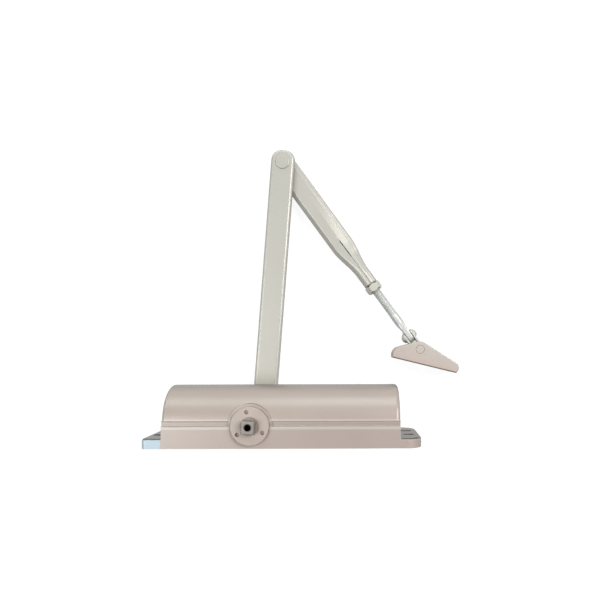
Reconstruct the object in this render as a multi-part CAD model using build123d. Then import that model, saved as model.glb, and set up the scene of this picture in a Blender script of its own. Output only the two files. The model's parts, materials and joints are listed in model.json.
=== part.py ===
from build123d import *
import math
import os

# Hydraulic door closer: rack-and-pinion body, two-piece regular arm and frame shoe.
# Frame, in millimetres: X along the body, Y away from the door face, Z along the spindle.
# The origin is the centre of the four fixing slots, on the mounting face.
# The arm sits on the spindle's lower end (-Z); the upper end (+Z) is left free.

# Fixing feet and casting
slot_from_end = 8.0
slot_pitch_z = 19.0
slot_width = 6.5
slot_length = 9.4
body_length = 190.0
body_width = 60.0
left_foot_length = 15.8
right_foot_length = 17.6
foot_thickness = 8.0
left_corner_radius = 3.0
right_corner_radius = 12.0
foot_edge_bevel = 1.2
groove_low = 17.2
groove_high = 21.8
groove_depth = 1.5
groove_slope = 0.8
dome_inset = 0.75
projection = 49.0
dome_end_radius = 3.0
boss_radius = 17.5

# Cylinder, plugs and valves
bore_floor = 5.0
bore_roof = 6.0
thread_depth = 2.0
thread_clearance = 0.05
plug_thread_length = 9.0
plug_nose_length = 7.0
plug_recess = 0.4
plug_socket_flats = 17.0
plug_socket_depth = 6.0
ring_section = 1.8
ring_squeeze = 0.02
ring_groove_margin = 0.2
valve_height = 11.5
valve_offset = 24.5
valve_radius = 3.9
valve_thread_length = 11.5
valve_neck_radius = 2.4
valve_neck_length = 4.5
valve_collar_length = 1.2
valve_collar_clearance = 0.1
valve_seat_gap = 0.2
valve_tip_length = 4.0
valve_slot_width = 1.2
valve_slot_depth = 1.4
valve_seal_section = 1.5
channel_radius = 1.5
port_radius = 1.2
channel_end_margin = 7.0
run_clearance = 0.05
close_clearance = 0.02

# Spindle with its pinion
spindle_from_end = 70.6
spindle_height = 18.0
journal_radius = 7.0
journal_half_length = 36.0
square_flats = 10.0
square_length = 5.7
square_chamfer = 0.6
tapped_radius = 2.5
tapped_depth = 15.0
tapped_mouth_radius = 3.5
gear_module = 1.8
pinion_teeth = 9
profile_shift = 0.5
tip_shortening = 0.4
pressure_angle = 20.0
tooth_backlash = 0.10
gear_width = 18.0

# Bearings, seals and gland caps
bearing_start = 16.5
bearing_length = 7.0
bearing_radius = 12.0
bearing_lip = 0.7
bearing_lip_clearance = 0.3
bearing_end_gap = 0.1
roller_radius = 1.25
roller_count = 16
roller_sides = 12
roller_clearance = 0.02
gland_thread_radius = 13.5
gland_flange_radius = 15.5
gland_flange_thickness = 3.2
gland_chamfer = 0.6
spanner_hole_radius = 1.7
spanner_hole_depth = 2.4
spanner_circle_radius = 11.5
spanner_angles = (101.0, 214.0, 334.0)
seal_section = 2.4
seal_start = 25.2

# Piston and spring
swing_angle = 170.0
piston_clearance = 0.05
piston_left_head = 16.0
piston_right_head = 14.6
piston_bevel = 0.6
window_clearance = 1.3
bridge_clearance = 0.8
spring_seat_depth = 3.0
spring_side_gap = 3.25
spring_seat_gap = 0.85
spring_wire_radius = 2.25
spring_sides = 8
spring_steps_per_turn = 16
spring_turns = 8
spring_end_gap = 0.05
check_ball_radius = 3.0
check_port_radius = 1.8
check_cage_length = 9.0
check_clip_thickness = 1.2
check_clip_inset = 0.6
piston_ring_width = 3.0
piston_ring_depth = 2.0
piston_ring_gap = 1.0
piston_ring_offset = 3.0

# Main arm and elbow
arm_length = 232.5
arm_angle = 85.47
arm_width = 21.6
arm_thickness = 6.0
arm_hub_radius = 13.5
arm_hub_blend = 8.0
arm_end_reach = 11.2
arm_end_radius = 9.0
arm_top_radius = 2.8
arm_bottom_bevel = 0.8
screw_shank_length = 12.0
screw_head_flats = 10.0
screw_head_height = 4.0
washer_radius = 9.0
washer_thickness = 1.5
washer_hole_radius = 3.0
rivet_radius = 4.0
rivet_head_radius = 5.2
rivet_head_height = 1.5
elbow_washer_radius = 8.0
elbow_washer_thickness = 1.0

# Forearm
forearm_length = 212.6
forearm_angle = -53.92
sleeve_width = 21.4
sleeve_thickness = 6.6
sleeve_wall = 2.2
round_share = 0.49
outer_taper_stations = 5
inner_taper_stations = 3
sleeve_pressed_end = 30.0
taper_length = 33.0
tube_length = 12.5
tube_diameter = 12.8
rod_exposed = 75.6
seam_slit_width = 0.7
seam_slit_lead = 2.5
seam_slit_length = 23.0
nut_flats = 13.0
nut_length = 8.6
nut_face_radius = 5.8
nut_chamfer_angle = 45.0
rod_radius = 4.0
rod_engagement = 18.0
rod_blade_length = 14.0
rod_neck_length = 7.0
rod_blade_thickness = 5.8
rod_blade_width = 9.2
rod_adjustment = 10.0

# Link and shoe
link_reach = 15.3
link_tip = 5.7
link_ear_thickness = 1.75
link_ear_width = 10.0
link_eye_radius = 7.0
cross_rivet_radius = 2.0
cross_head_radius = 4.2
cross_head_height = 3.0
flat_clearance = 0.05
shoe_angle = -13.85
shoe_base_drop = 13.2
shoe_crown_radius = 7.5
shoe_left_reach = 23.6
shoe_left_drop = 9.0
shoe_left_radius = 8.0
shoe_right_reach = 38.6
shoe_right_drop = 9.2
shoe_right_radius = 5.4
shoe_plate = 2.5
shoe_gap = 15.0
shoe_edge_bevel = 0.7
shoe_hole_radius = 2.75
shoe_hole_pitch = 40.0
shoe_hole_offset = 7.5
shoe_countersink_radius = 4.8
shoe_countersink_depth = 1.6
pin_radius = 4.0
pin_bevel = 0.4

# Places worked out from the sizes above
end_x = body_length / 2
side_z = body_width / 2
slot_pitch_x = body_length + 2 * slot_from_end
bore_radius = (projection - bore_floor - bore_roof) / 2
bore_height = bore_floor + bore_radius
thread_radius = bore_radius + thread_depth
spindle_x = -end_x + spindle_from_end
dome_half_width = side_z - dome_inset
dome_radius = ((projection - groove_high) ** 2 + dome_half_width ** 2) / (2 * (projection - groove_high))
plug_seat_x = end_x - plug_thread_length
plug_inner_x = plug_seat_x - plug_nose_length
pitch_radius = gear_module * pinion_teeth / 2
rack_line = spindle_height + pitch_radius + profile_shift * gear_module
rack_tip = rack_line - gear_module
rack_root = rack_line + 1.25 * gear_module
pinion_tip_radius = pitch_radius + gear_module * (1 + profile_shift) - tip_shortening
rack_travel = pitch_radius * math.radians(swing_angle)
window_reach = max(pinion_tip_radius, bearing_radius) + window_clearance
window_right = spindle_x + window_reach
window_left = spindle_x - window_reach - rack_travel
piston_left = window_left - piston_left_head
piston_right = window_right + piston_right_head
piston_radius = bore_radius - piston_clearance
spring_coil_radius = bore_radius - spring_side_gap - spring_wire_radius
spring_seat_radius = spring_coil_radius + spring_wire_radius + spring_seat_gap
gland_start = bearing_start + bearing_length + bearing_end_gap
arm_top_z = -journal_half_length
arm_bottom_z = arm_top_z - arm_thickness
spindle_end_z = journal_half_length + square_length
forearm_z = arm_bottom_z - elbow_washer_thickness - sleeve_thickness / 2
elbow_x = spindle_x + arm_length * math.cos(math.radians(arm_angle))
elbow_y = spindle_height + arm_length * math.sin(math.radians(arm_angle))
forearm_place = Location((elbow_x, elbow_y, forearm_z), (0, 0, forearm_angle))
shoe_x = elbow_x + forearm_length * math.cos(math.radians(forearm_angle))
shoe_y = elbow_y + forearm_length * math.sin(math.radians(forearm_angle))
shoe_place = Location((shoe_x, shoe_y, forearm_z), (0, 0, shoe_angle))
tube_end = forearm_length - rod_exposed
taper_end = tube_end - tube_length
taper_start = taper_end - taper_length
rod_start = tube_end - rod_engagement
rivet_station = forearm_length - link_reach
rod_end = rivet_station + link_tip
rod_blade_start = rod_end - rod_blade_length
ear_inner = rod_blade_thickness / 2 + flat_clearance
ear_outer = ear_inner + link_ear_thickness
shoe_half_width = shoe_gap / 2 + shoe_plate


def rod_z(radius, low, high, x=0.0, y=0.0):
    """Cylinder along Z between two heights."""
    return Pos(x, y, (low + high) / 2) * Cylinder(radius, high - low)


def rod_x(radius, low, high, y=0.0, z=0.0):
    """Cylinder along X between two stations."""
    return Pos((low + high) / 2, y, z) * Rot(0, 90, 0) * Cylinder(radius, high - low)


def rod_y(radius, low, high, x=0.0, z=0.0):
    """Cylinder along Y between two heights."""
    return Pos(x, (low + high) / 2, z) * Rot(90, 0, 0) * Cylinder(radius, high - low)


def block(x0, x1, y0, y1, z0, z1):
    """Box between two corners."""
    return Pos((x0 + x1) / 2, (y0 + y1) / 2, (z0 + z1) / 2) * Box(x1 - x0, y1 - y0, z1 - z0)


def seal_ring(major, minor):
    """Ring about Z whose section is an octagon, flats towards its seat."""
    section = Plane.XZ * Pos(major, 0) * Rot(0, 0, 22.5) * RegularPolygon(minor, 8, major_radius=False)
    return revolve(section, Axis.Z)


def ring_x(major, minor, x, y=0.0, z=0.0):
    """Seal ring about an axis along X."""
    return Pos(x, y, z) * Rot(0, 90, 0) * seal_ring(major, minor)


def hexagon_x(flats, low, high, y=0.0, z=0.0):
    """Hexagonal prism along X, by its width across flats."""
    outline = RegularPolygon(flats / math.sqrt(3), 6)
    return Pos(low, y, z) * Rot(0, 90, 0) * extrude(outline, high - low)


def section_at(x, width, thickness, corner):
    """Rounded rectangle across the forearm at one station."""
    frame = Plane(origin=(x, 0, 0), x_dir=(0, 1, 0), z_dir=(1, 0, 0))
    return frame * RectangleRounded(width, thickness, corner)


def sleeve_section(x, width, thickness):
    """Section of the sleeve, with fully rounded short sides."""
    return section_at(x, width, thickness, round_share * min(width, thickness))


def domed_head(radius, height, grip):
    """Shallow rivet head standing on z = 0, with its shank running down."""
    crown = (radius ** 2 + height ** 2) / (2 * height)
    cap = Pos(0, 0, height - crown) * Sphere(crown)
    return (cap & rod_z(radius, 0, height)) + rod_z(grip[0], -grip[1], 0)


def block_profile():
    """Cross-section of the casting below its dome: flat base and side groove."""
    inner = side_z - groove_depth
    points = [
        (0, side_z),
        (groove_low, side_z),
        (groove_low + groove_slope, inner),
        (groove_high - groove_slope, inner),
        (groove_high, dome_half_width),
    ]
    mirrored = [(y, -z) for y, z in reversed(points)]
    return Plane.YZ * make_face(Polyline(*mirrored, *points, mirrored[0]).edges())


def dome():
    """Round back of the casting, with its end edges rounded over."""
    round_back = rod_x(dome_radius, -end_x, end_x, projection - dome_radius)
    round_back = fillet(round_back.edges().filter_by(GeomType.CIRCLE), dome_end_radius)
    return round_back & block(-end_x, end_x, groove_high, projection, -side_z, side_z)


def foot_plate():
    """One plate that runs under the body and makes both feet."""
    middle = (right_foot_length - left_foot_length) / 2
    length = body_length + left_foot_length + right_foot_length
    outline = Pos(middle, 0) * Rectangle(length, body_width)
    outline = fillet(outline.vertices().group_by(Axis.X)[0], left_corner_radius)
    outline = fillet(outline.vertices().group_by(Axis.X)[-1], right_corner_radius)
    plate = Pos(0, foot_thickness, 0) * Rot(90, 0, 0) * extrude(outline, foot_thickness)
    return chamfer(plate.faces().sort_by(Axis.Y)[-1].edges(), foot_edge_bevel)


def fixing_slots():
    slot = Rot(90, 0, 0) * extrude(SlotOverall(slot_length, slot_width), 3 * foot_thickness, both=True)
    return [
        Pos(sx * slot_pitch_x / 2, 0, sz * slot_pitch_z / 2) * slot
        for sx in (-1, 1)
        for sz in (-1, 1)
    ]


def valve_pocket(side):
    """Screw pocket in the left end, its oil channel and the port into the cylinder."""
    z = side * valve_offset
    pocket_end = -end_x + valve_thread_length + valve_neck_length
    channel_end = spindle_x - gland_thread_radius - channel_end_margin
    pocket = rod_x(valve_radius + run_clearance, -end_x - 1, pocket_end, valve_height, z)
    channel = rod_x(channel_radius, pocket_end - 1, channel_end, valve_height, z)
    rise = bore_height - valve_height
    port_length = math.hypot(rise, valve_offset) - bore_radius + 2
    port = rod_z(port_radius, 0, port_length)
    turn = math.degrees(math.atan2(-rise, -z))
    port = Pos(channel_end - channel_radius, valve_height, z) * Rot(turn, 0, 0) * port
    return [pocket, channel, port]


def housing():
    shell = Pos(-end_x, 0, 0) * extrude(block_profile(), body_length)
    shell += dome()
    shell += foot_plate()
    shell += rod_z(boss_radius, -side_z, side_z, spindle_x, spindle_height)
    cuts = [rod_x(bore_radius, -end_x - 1, end_x + 1, bore_height)]
    for side in (-1, 1):
        low, high = sorted((side * plug_seat_x, side * (end_x + 1)))
        cuts.append(rod_x(thread_radius + thread_clearance, low, high, bore_height))
    cuts.append(rod_z(bearing_radius, -gland_start, gland_start, spindle_x, spindle_height))
    cuts.append(rod_z(gland_thread_radius, gland_start, side_z + 1, spindle_x, spindle_height))
    cuts.append(rod_z(gland_thread_radius, -side_z - 1, -gland_start, spindle_x, spindle_height))
    cuts += fixing_slots()
    for side in (-1, 1):
        cuts += valve_pocket(side)
    for cut in cuts:
        shell -= cut
    return shell


def end_plug(side):
    """Threaded plug with a sealing nose; side is -1 for the left end and 1 for the right."""
    outer = end_x - plug_recess
    groove_x = plug_seat_x - plug_nose_length / 2
    groove_bottom = bore_radius - ring_section
    plug = rod_x(thread_radius, plug_seat_x, outer, bore_height)
    plug += rod_x(bore_radius - run_clearance, plug_inner_x, plug_seat_x, bore_height)
    half = ring_section / 2 + ring_groove_margin
    groove = rod_x(bore_radius + 1, groove_x - half, groove_x + half, bore_height)
    groove -= rod_x(groove_bottom, groove_x - ring_section, groove_x + ring_section, bore_height)
    plug -= groove
    plug -= hexagon_x(plug_socket_flats, outer - plug_socket_depth, outer + 1, bore_height)
    return plug if side > 0 else mirror(plug, Plane.YZ)


def plug_seal(side):
    minor = ring_section / 2 - ring_squeeze
    x = side * (plug_seat_x - plug_nose_length / 2)
    return ring_x(bore_radius - ring_section / 2, minor, x, bore_height)


def valve_screw(side):
    """Needle screw: slotted threaded head, necked seal seat and tapered tip."""
    z = side * valve_offset
    head = -end_x + plug_recess
    neck = -end_x + valve_thread_length
    shoulder = neck + valve_neck_length - valve_seat_gap
    screw = rod_x(valve_radius, head, neck, valve_height, z)
    screw += rod_x(valve_neck_radius, neck, shoulder, valve_height, z)
    collar_radius = valve_radius - valve_collar_clearance
    screw += rod_x(collar_radius, shoulder - valve_collar_length, shoulder, valve_height, z)
    tip_radius = channel_radius - run_clearance
    tip = Rot(0, 90, 0) * Cone(tip_radius, tip_radius / 3, valve_tip_length)
    screw += Pos(shoulder + valve_tip_length / 2, valve_height, z) * tip
    slot = valve_slot_width / 2
    reach = valve_radius + 1
    screw -= block(
        head - 1, head + valve_slot_depth,
        valve_height - reach, valve_height + reach,
        z - slot, z + slot,
    )
    return screw


def valve_seal(side):
    major = valve_radius - valve_seal_section / 2
    x = -end_x + valve_thread_length + valve_seal_section / 2 + valve_seat_gap / 2
    return ring_x(major, valve_seal_section / 2 - ring_squeeze, x, valve_height, side * valve_offset)


def involute(angle):
    return math.tan(angle) - angle


def pinion_section():
    """Outline of the pinion: involute flanks on a shifted profile, one tooth pointing along +Y."""
    alpha = math.radians(pressure_angle)
    base = pitch_radius * math.cos(alpha)
    root = pitch_radius - gear_module * (1.25 - profile_shift)
    thickness = gear_module * (math.pi / 2 + 2 * profile_shift * math.tan(alpha)) - tooth_backlash
    half_pitch_angle = thickness / (2 * pitch_radius)

    def half_angle(radius):
        return half_pitch_angle + involute(alpha) - involute(math.acos(min(1.0, base / radius)))

    section = Circle(root)
    radii = [base, (base + pinion_tip_radius) / 2, pinion_tip_radius]
    for tooth in range(pinion_teeth):
        middle = math.pi / 2 + 2 * math.pi * tooth / pinion_teeth

        def at(radius, offset):
            return (radius * math.cos(middle + offset), radius * math.sin(middle + offset))

        right = ThreePointArc(*[at(r, -half_angle(r)) for r in radii])
        left = ThreePointArc(*[at(r, half_angle(r)) for r in reversed(radii)])
        foot = root * 0.97
        tip = ThreePointArc(right @ 1, at(pinion_tip_radius, 0), left @ 0)
        start = at(foot, -half_angle(base))
        finish = at(foot, half_angle(base))
        edges = [Line(start, right @ 0), right, tip, left, Line(left @ 1, finish), Line(finish, start)]
        section += make_face(edges)
    return section


def spindle():
    """One steel piece: journals, pinion and a square with a tapped hole at each end."""
    shaft = rod_z(journal_radius, -journal_half_length, journal_half_length)
    shaft -= rod_z(journal_radius + 1, -gear_width / 2, gear_width / 2)
    shaft += Pos(0, 0, -gear_width / 2) * extrude(pinion_section(), gear_width)
    square = Box(square_flats, square_flats, 2 * spindle_end_z)
    square = chamfer(square.faces().sort_by(Axis.Z)[-1].edges(), square_chamfer)
    square = chamfer(square.faces().sort_by(Axis.Z)[0].edges(), square_chamfer)
    ends = rod_z(journal_radius, -spindle_end_z, spindle_end_z) & square
    ends -= rod_z(2 * journal_radius, -journal_half_length, journal_half_length)
    shaft += Rot(0, 0, arm_angle) * ends
    mouth_depth = tapped_mouth_radius - tapped_radius
    for side in (-1, 1):
        low, high = sorted((side * (spindle_end_z - tapped_depth), side * (spindle_end_z + 1)))
        shaft -= rod_z(tapped_radius, low, high)
        mouth = Cone(tapped_radius, tapped_mouth_radius, mouth_depth)
        turn = Rot(0, 0, 0) if side > 0 else Rot(180, 0, 0)
        shaft -= Pos(0, 0, side * (spindle_end_z - mouth_depth / 2)) * turn * mouth
    return Pos(spindle_x, spindle_height, 0) * shaft


def bearing_cup(side):
    """Drawn cup of a needle bearing, with a lip at each end."""
    far = bearing_start + bearing_length
    cup = rod_z(bearing_radius - roller_clearance, bearing_start, far)
    cavity = journal_radius + 2 * roller_radius + 2 * roller_clearance
    cup -= rod_z(cavity, bearing_start + bearing_lip, far - bearing_lip)
    cup -= rod_z(journal_radius + bearing_lip_clearance, bearing_start - 1, far + 1)
    return place_on_spindle(cup, side)


def bearing_rollers(side):
    circle = journal_radius + roller_radius + roller_clearance
    end_gap = bearing_lip + run_clearance
    low, high = sorted((side * (bearing_start + end_gap), side * (bearing_start + bearing_length - end_gap)))
    outline = RegularPolygon(roller_radius, roller_sides)
    place = Pos(spindle_x, spindle_height, low)
    rollers = [
        place * Rot(0, 0, 360 * k / roller_count) * Pos(circle, 0, 0) * extrude(outline, high - low)
        for k in range(roller_count)
    ]
    return Compound(children=rollers)


def place_on_spindle(shape, side):
    """Move a piece built on the Z axis for the upper side onto the spindle's axis."""
    if side < 0:
        shape = mirror(shape, Plane.XY)
    return Pos(spindle_x, spindle_height, 0) * shape


def gland_cap(side):
    """Threaded ring that closes the bearing bore, with three spanner holes in its flange."""
    top = side_z + gland_flange_thickness
    flange = rod_z(gland_flange_radius, side_z, top)
    flange = chamfer(flange.faces().sort_by(Axis.Z)[-1].edges(), gland_chamfer)
    cap = flange + rod_z(gland_thread_radius - run_clearance, gland_start, side_z)
    cap -= rod_z(journal_radius + 1.6 * run_clearance, gland_start - 1, top + 1)
    seal_room = journal_radius + seal_section + 4 * run_clearance
    cap -= rod_z(seal_room, seal_start, seal_start + seal_section + 2 * run_clearance)
    for angle in spanner_angles:
        hole = rod_z(spanner_hole_radius, top - spanner_hole_depth, top + 1, spanner_circle_radius, 0)
        cap -= Rot(0, 0, angle) * hole
    return place_on_spindle(cap, side)


def shaft_seal(side):
    middle = seal_start + seal_section / 2 + run_clearance
    major = journal_radius + seal_section / 2 + 2 * run_clearance
    return place_on_spindle(Pos(0, 0, middle) * seal_ring(major, seal_section / 2), side)


def rack_teeth():
    """Straight-flanked teeth that hang from the piston's bridge and mesh with the pinion."""
    alpha = math.radians(pressure_angle)
    pitch = math.pi * gear_module
    half = (pitch / 2 - tooth_backlash / 2) / 2
    tip = half - (rack_line - rack_tip) * math.tan(alpha)
    root = half + (rack_root - rack_line) * math.tan(alpha)
    overlap = 0.5
    outline = make_face(
        Polyline((-tip, rack_tip), (tip, rack_tip), (root, rack_root), (root, rack_root + overlap),
                 (-root, rack_root + overlap), (-root, rack_root), (-tip, rack_tip)).edges()
    )
    tooth = Pos(0, 0, -gear_width / 2) * extrude(outline, gear_width)
    first = math.ceil((window_left - spindle_x) / pitch + 0.5)
    last = math.floor((window_right - spindle_x) / pitch - 0.5)
    places = [spindle_x + (k + 0.5) * pitch for k in range(first - 1, last + 1)]
    return [Pos(x, 0, 0) * tooth for x in places if window_left + root < x < window_right - root]


def piston():
    """Turned piston with a window for the pinion, a rack in the window's roof and a spring seat."""
    body = rod_x(piston_radius, piston_left, piston_right, bore_height)
    body = chamfer(body.edges().filter_by(GeomType.CIRCLE), piston_bevel)
    body -= block(window_left, window_right, -1, rack_root, -side_z, side_z)
    bearing_top = spindle_height + bearing_radius + bridge_clearance
    for side in (-1, 1):
        low, high = sorted((side * (bearing_start - bridge_clearance), side * side_z))
        body -= block(window_left, window_right, -1, bearing_top, low, high)
    for tooth in rack_teeth():
        body += tooth
    body -= rod_x(spring_seat_radius, piston_right - spring_seat_depth, piston_right + 1, bore_height)
    ring_x0, ring_x1 = ring_groove()
    groove = rod_x(piston_radius + 1, ring_x0, ring_x1, bore_height)
    body -= groove - rod_x(piston_radius - piston_ring_depth, ring_x0 - 1, ring_x1 + 1, bore_height)
    body -= rod_x(check_port_radius, piston_left - 1, window_left + 1, bore_height)
    cage_radius = check_ball_radius + 2 * run_clearance
    body -= rod_x(cage_radius, window_left - check_cage_length, window_left + 1, bore_height)
    return body


def ring_groove():
    middle = piston_left + piston_left_head / 2 - piston_ring_offset
    return middle - piston_ring_width / 2, middle + piston_ring_width / 2


def piston_ring():
    """Split ring that rides in the left head's groove."""
    x0, x1 = ring_groove()
    x0, x1 = x0 + run_clearance, x1 - run_clearance
    ring = rod_x(bore_radius - close_clearance, x0, x1, bore_height)
    ring -= rod_x(piston_radius - piston_ring_depth + run_clearance, x0 - 1, x1 + 1, bore_height)
    gap = piston_ring_gap / 2
    return ring - block(x0 - 1, x1 + 1, bore_height, bore_height + 2 * bore_radius, -gap, gap)


def check_ball():
    lift = math.sqrt(check_ball_radius ** 2 - check_port_radius ** 2) + run_clearance
    return Pos(window_left - check_cage_length + lift, bore_height, 0) * Sphere(check_ball_radius)


def check_clip():
    """Spring clip that keeps the ball in its cage and lets the oil pass."""
    outer = check_ball_radius + run_clearance
    high = window_left - check_clip_inset
    clip = rod_x(outer, high - check_clip_thickness, high, bore_height)
    return clip - rod_x(outer / 2, high - 3, high + 1, bore_height)


def closing_spring():
    """Helical compression spring between the piston's seat and the right plug."""
    margin = spring_wire_radius + spring_end_gap
    start = piston_right - spring_seat_depth + margin
    height = plug_inner_x - margin - start
    steps = spring_turns * spring_steps_per_turn
    points = []
    for k in range(steps + 1):
        angle = 2 * math.pi * k / spring_steps_per_turn
        x, y = spring_coil_radius * math.cos(angle), spring_coil_radius * math.sin(angle)
        points.append((x, y, height * k / steps))
    path = Polyline(*points)
    wire = Plane(origin=path @ 0, z_dir=path % 0) * RegularPolygon(spring_wire_radius, spring_sides)
    coil = sweep(wire, path, transition=Transition.RIGHT)
    return Pos(start, bore_height, 0) * Rot(0, 90, 0) * coil


def main_arm():
    """Flat forged lever: square hole in the hub, rivet hole at the elbow, rounded edges."""
    reach = arm_length + arm_end_reach
    blade = Pos(reach / 2, 0) * Rectangle(reach, arm_width)
    blade = fillet(blade.vertices().group_by(Axis.X)[-1], arm_end_radius)
    outline = Circle(arm_hub_radius) + blade
    neck = [v for v in outline.vertices() if 0 < v.X < arm_hub_radius]
    lever = extrude(fillet(neck, arm_hub_blend), arm_thickness)
    lever = fillet(lever.faces().sort_by(Axis.Z)[-1].edges(), arm_top_radius)
    lever = chamfer(lever.faces().sort_by(Axis.Z)[0].edges(), arm_bottom_bevel)
    opening = square_flats + 2 * run_clearance
    lever -= Box(opening, opening, 3 * arm_thickness)
    lever -= Pos(arm_length, 0, 0) * Cylinder(rivet_radius + run_clearance, 3 * arm_thickness)
    return Location((spindle_x, spindle_height, arm_bottom_z), (0, 0, arm_angle)) * lever


def arm_washer():
    ring = rod_z(washer_radius, arm_bottom_z - washer_thickness, arm_bottom_z)
    ring -= rod_z(washer_hole_radius, arm_bottom_z - 5, arm_bottom_z + 5)
    return Pos(spindle_x, spindle_height, 0) * ring


def arm_screw():
    """Hexagon screw that holds the arm on the spindle's lower square."""
    top = arm_bottom_z - washer_thickness
    hexagon = RegularPolygon(screw_head_flats / math.sqrt(3), 6)
    head = Pos(0, 0, top - screw_head_height) * extrude(hexagon, screw_head_height)
    bevel = Pos(0, 0, top - screw_head_height / 2) * Cone(
        screw_head_flats / 2, screw_head_flats / 2 + screw_head_height, screw_head_height)
    screw = (head & bevel) + rod_z(tapped_radius - run_clearance, top, top + screw_shank_length)
    return Pos(spindle_x, spindle_height, 0) * screw


def elbow_rivet():
    """Domed rivet through the arm, the washer and the sleeve, headed over below."""
    low = forearm_z - sleeve_thickness / 2
    head = domed_head(rivet_head_radius, rivet_head_height, (rivet_radius, arm_top_z - low))
    tail = Rot(180, 0, 0) * domed_head(rivet_head_radius, rivet_head_height, (rivet_radius, 1))
    return Pos(elbow_x, elbow_y, 0) * (Pos(0, 0, arm_top_z) * head + Pos(0, 0, low - flat_clearance) * tail)


def elbow_washer():
    ring = rod_z(elbow_washer_radius, arm_bottom_z - elbow_washer_thickness, arm_bottom_z)
    ring -= rod_z(rivet_radius + run_clearance, arm_bottom_z - 5, arm_bottom_z + 5)
    return Pos(elbow_x, elbow_y, 0) * ring


def taper_size(share):
    """Width and thickness of the sleeve along its taper, from pressed flat to round, level at both ends."""
    blend = share * share * (3 - 2 * share)
    width = sleeve_width + (tube_diameter - sleeve_width) * blend
    thickness = sleeve_thickness + (tube_diameter - sleeve_thickness) * blend
    return width, thickness


def taper_loft(shrink, stations):
    sections = []
    for k in range(stations):
        share = k / (stations - 1)
        width, thickness = taper_size(share)
        station = taper_start + taper_length * share
        sections.append(sleeve_section(station, width - 2 * shrink, thickness - 2 * shrink))
    return loft(sections)


def forearm_sleeve():
    """Formed sheet sleeve: pressed flat at the elbow, rolled to a seamed tube at the nut."""
    flat = extrude(sleeve_section(-sleeve_width / 2, sleeve_width, sleeve_thickness),
                   taper_start + sleeve_width / 2)
    tube = extrude(sleeve_section(taper_end, tube_diameter, tube_diameter), tube_end - taper_end)
    plan = Cylinder(sleeve_width / 2, 2 * sleeve_width)
    plan += block(0, taper_start, -sleeve_width / 2, sleeve_width / 2, -sleeve_width, sleeve_width)
    sleeve = (flat & plan) + taper_loft(0, outer_taper_stations) + tube
    hollow_width = sleeve_width - 2 * sleeve_wall
    hollow_thickness = sleeve_thickness - 2 * sleeve_wall
    hollow = extrude(sleeve_section(sleeve_pressed_end, hollow_width, hollow_thickness),
                     taper_start - sleeve_pressed_end)
    hollow += taper_loft(sleeve_wall, inner_taper_stations)
    sleeve -= hollow
    rod_room = rod_start - rod_adjustment - 1
    sleeve -= rod_x(rod_radius + run_clearance, rod_room, tube_end + 1)
    slit = seam_slit_width / 2
    slit_start = taper_start - seam_slit_lead
    sleeve -= block(slit_start, slit_start + seam_slit_length, -slit, slit, 0, tube_diameter)
    sleeve -= rod_z(rivet_radius + run_clearance, -sleeve_width, sleeve_width)
    return forearm_place * sleeve


def lock_nut():
    """Hexagon nut chamfered at both ends, with one of its flats towards +Z."""
    nut = Rot(30, 0, 0) * hexagon_x(nut_flats, tube_end, tube_end + nut_length)
    spread = nut_length / math.tan(math.radians(nut_chamfer_angle))
    bevel = Cone(nut_face_radius + spread, nut_face_radius, nut_length)
    middle = Pos(tube_end + nut_length / 2, 0, 0)
    nut = nut & (middle * Rot(0, 90, 0) * bevel) & (middle * Rot(0, -90, 0) * bevel)
    nut -= rod_x(rod_radius + run_clearance, tube_end - 1, tube_end + nut_length + 1)
    return forearm_place * nut


def forearm_rod():
    """Threaded rod whose outer end is pressed to a blade for the cross rivet."""
    neck = rod_blade_start - rod_neck_length
    rod = rod_x(rod_radius, rod_start, neck)
    round_end = Plane(origin=(neck, 0, 0), x_dir=(0, 1, 0), z_dir=(1, 0, 0)) * Circle(rod_radius)
    blade_end = section_at(rod_blade_start, rod_blade_thickness, rod_blade_width, 1.0)
    rod += loft([round_end, blade_end])
    blade = extrude(blade_end, rod_end - rod_blade_start)
    tip = rod_y(rod_blade_width / 2, -rod_radius, rod_radius, rod_end - rod_blade_width / 2, 0)
    tip += block(rod_blade_start - 1, rod_end - rod_blade_width / 2, -rod_radius, rod_radius,
                 -rod_blade_width, rod_blade_width)
    rod += blade & tip
    rod -= rod_y(cross_rivet_radius + run_clearance, -rod_radius, rod_radius, rivet_station, 0)
    return forearm_place * rod


def shoe_link():
    """Forked link: two ears on the rod's blade and an eye across them for the shoe pin."""
    half_width = link_ear_width / 2
    ears = block(rivet_station, forearm_length, -ear_outer, ear_outer, -half_width, half_width)
    ears += rod_y(half_width, -ear_outer, ear_outer, rivet_station, 0)
    ears -= block(rivet_station - link_ear_width, forearm_length, -ear_inner, ear_inner,
                  -link_ear_width, link_ear_width)
    eye_half = shoe_gap / 2 - 2 * flat_clearance
    link = ears + rod_z(link_eye_radius, -eye_half, eye_half, forearm_length, 0)
    link -= rod_z(pin_radius + run_clearance, -shoe_gap, shoe_gap, forearm_length, 0)
    link -= rod_y(cross_rivet_radius + close_clearance, -2 * ear_outer, 2 * ear_outer, rivet_station, 0)
    return forearm_place * link


def cross_rivet():
    """Rivet across the forearm with a domed head outside each ear."""
    half = domed_head(cross_head_radius, cross_head_height, (cross_rivet_radius, ear_outer))
    rivet = Pos(0, ear_outer, 0) * Rot(-90, 0, 0) * half
    rivet += Pos(0, -ear_outer, 0) * Rot(90, 0, 0) * half
    return forearm_place * Pos(rivet_station, 0, 0) * rivet


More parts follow.
